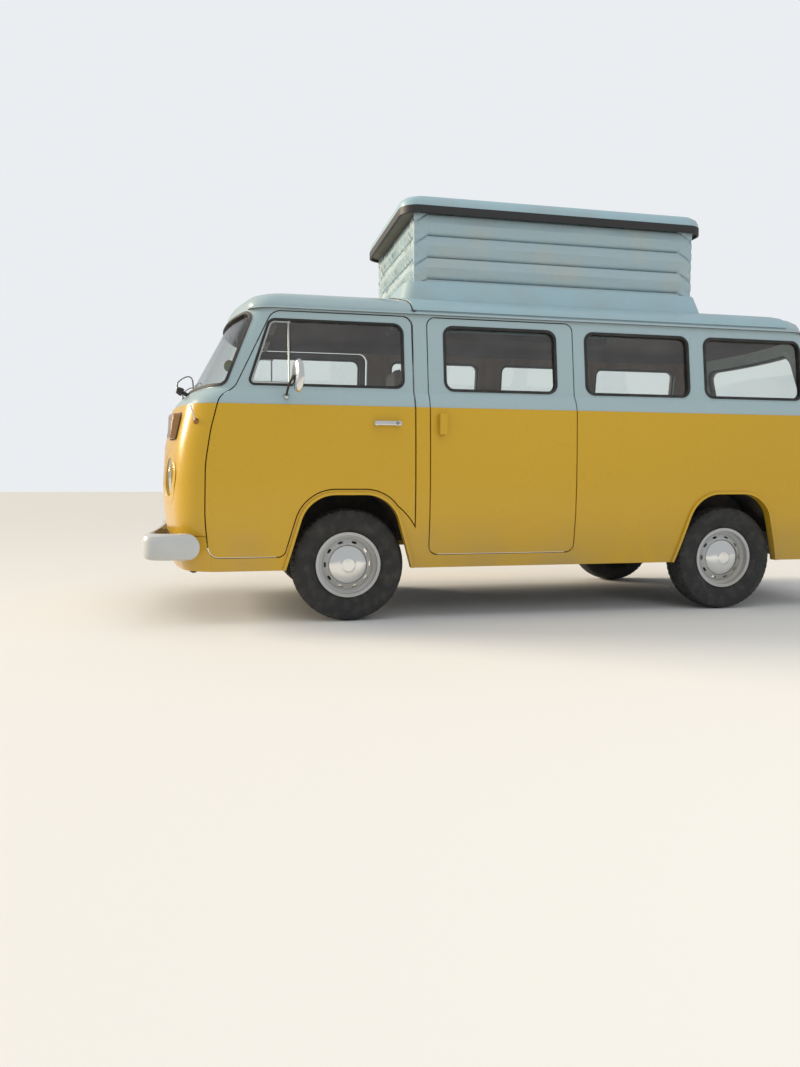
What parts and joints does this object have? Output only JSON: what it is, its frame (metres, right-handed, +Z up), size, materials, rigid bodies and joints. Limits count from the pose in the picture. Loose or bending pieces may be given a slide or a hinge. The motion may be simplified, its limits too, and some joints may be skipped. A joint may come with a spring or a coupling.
{
  "type": "camper van",
  "caption": "Rear-engined camper van with a rising roof on pleated bellows, two-tone paint, hinged cab doors, tailgate and engine lid, steered front wheels.",
  "frame": {"origin": "on the ground, under the middle of the van's length and width", "axes": "+X to the van's left, +Y towards its rear, +Z up; the nose faces -Y"},
  "size_m": [2.032, 4.505, 2.518],
  "materials": {
    "body_paint": "yellow paint below the belt, pale paint above it",
    "pale_paint": "pale paint",
    "white_paint": "white paint",
    "chassis_paint": "black underbody paint",
    "moulding": "glass-fibre moulding",
    "fabric_white": "coated cloth",
    "upholstery": "brown cloth",
    "cabinet_wood": "veneered board",
    "black_plastic": "matt",
    "black_rubber": "matt rubber",
    "tyre": "tyre rubber",
    "glass": "clear",
    "lamp_glass": "fluted lens in a bright ring",
    "lamp_plastic": "red and amber lens",
    "bright_metal": "bright trim",
    "wheel_paint": "silver wheel with a bright cap",
    "cast_metal": "cast and oily"
  },
  "bodies": {
    "body": {"nose_panel": "body_paint", "windscreen_frame": "pale_paint", "roof_panel": "pale_paint", "side_panel_left": "body_paint", "side_panel_right": "body_paint", "rear_panel": "body_paint", "floor": "chassis_paint", "seat_riser": "chassis_paint", "front_tubs": "chassis_paint", "rear_tubs": "chassis_paint", "engine_bay": "chassis_paint", "chassis_rails": "chassis_paint", "sliding_door": "body_paint", "front_bumper": "white_paint", "rear_bumper": "white_paint", "front_lamps": "lamp_glass", "tail_lamps": "lamp_plastic", "air_grille": "black_plastic", "fixed_glass": "glass", "window_seals": "black_rubber", "wipers": "black_plastic", "dashboard": "black_plastic", "seats": "upholstery", "cabinets": "cabinet_wood", "engine": "cast_metal", "front_axle": "chassis_paint", "rear_axle": "chassis_paint", "roof_base": "moulding", "bellows": "fabric_white"},
    "rising_lid": {"lid": "moulding", "lid_rim": "black_rubber"},
    "left_door": {"door_left": "body_paint", "door_glass_left": "glass", "door_fittings_left": "bright_metal"},
    "right_door": {"door_right": "body_paint", "door_glass_right": "glass", "door_fittings_right": "bright_metal"},
    "rear_gate": {"tailgate": "body_paint", "tailgate_glass": "glass", "tailgate_seal": "black_rubber"},
    "engine_cover": {"engine_lid": "body_paint"},
    "left_knuckle": {"knuckle_left": "cast_metal"},
    "right_knuckle": {"knuckle_right": "cast_metal"},
    "steering_rod": {"track_rod": "chassis_paint"},
    "helm": {"steering_wheel": "black_plastic"},
    "rolling_front_left": {"wheel_front_left": "wheel_paint", "tyre_front_left": "tyre"},
    "rolling_front_right": {"wheel_front_right": "wheel_paint", "tyre_front_right": "tyre"},
    "rolling_rear_left": {"wheel_rear_left": "wheel_paint", "tyre_rear_left": "tyre"},
    "rolling_rear_right": {"wheel_rear_right": "wheel_paint", "tyre_rear_right": "tyre"}
  },
  "joints": [
    {"name": "left_door_hinge", "type": "hinge", "parent": "body", "child": "left_door", "pos_m": [0.858, -1.9045, 0.78], "axis": [0, 0, -1], "range_deg": [0, 65]},
    {"name": "right_door_hinge", "type": "hinge", "parent": "body", "child": "right_door", "pos_m": [-0.858, -1.9045, 0.78], "axis": [0, 0, 1], "range_deg": [0, 65]},
    {"name": "tailgate_hinge", "type": "hinge", "parent": "body", "child": "rear_gate", "pos_m": [0, 1.9935, 1.748], "axis": [1, 0, 0], "range_deg": [0, 85]},
    {"name": "engine_lid_hinge", "type": "hinge", "parent": "body", "child": "engine_cover", "pos_m": [0, 2.1725, 0.955], "axis": [1, 0, 0], "range_deg": [0, 70]},
    {"name": "lid_rise", "type": "slide", "parent": "body", "child": "rising_lid", "axis": [0, 0, 1], "range_m": [-0.385, 0], "deforming": ["bellows"]},
    {"name": "left_steer", "type": "hinge", "parent": "body", "child": "left_knuckle", "pos_m": [0.6, -1.1425, 0.325], "axis": [0, 0, 1], "range_deg": [-30, 30]},
    {"name": "right_steer", "type": "hinge", "parent": "body", "child": "right_knuckle", "pos_m": [-0.6, -1.1425, 0.325], "axis": [0, 0, 1], "range_deg": [-30, 30]},
    {"name": "track_rod_end", "type": "hinge", "parent": "left_knuckle", "child": "steering_rod", "pos_m": [0.6, -1.0025, 0.29], "axis": [0, 0, 1], "range_deg": [-30, 30]},
    {"name": "steering_wheel_turn", "type": "hinge", "parent": "body", "child": "helm", "pos_m": [-0.4, -1.4525, 1.15], "axis": [0, 0.5, 0.866], "range_deg": [-441, 441]},
    {"name": "roll_front_left", "type": "hinge", "parent": "left_knuckle", "child": "rolling_front_left", "pos_m": [0.6975, -1.1425, 0.325], "axis": [1, 0, 0], "continuous": true},
    {"name": "roll_front_right", "type": "hinge", "parent": "right_knuckle", "child": "rolling_front_right", "pos_m": [-0.6975, -1.1425, 0.325], "axis": [1, 0, 0], "continuous": true},
    {"name": "roll_rear_left", "type": "hinge", "parent": "body", "child": "rolling_rear_left", "pos_m": [0.7275, 1.2575, 0.325], "axis": [1, 0, 0], "continuous": true},
    {"name": "roll_rear_right", "type": "hinge", "parent": "body", "child": "rolling_rear_right", "pos_m": [-0.7275, 1.2575, 0.325], "axis": [1, 0, 0], "continuous": true}
  ],
  "couplings": [
    {"joint": "right_steer", "follows": "left_steer", "ratio": 1},
    {"joint": "track_rod_end", "follows": "left_steer", "ratio": -1},
    {"joint": "steering_wheel_turn", "follows": "left_steer", "ratio": 14.7}
  ]
}
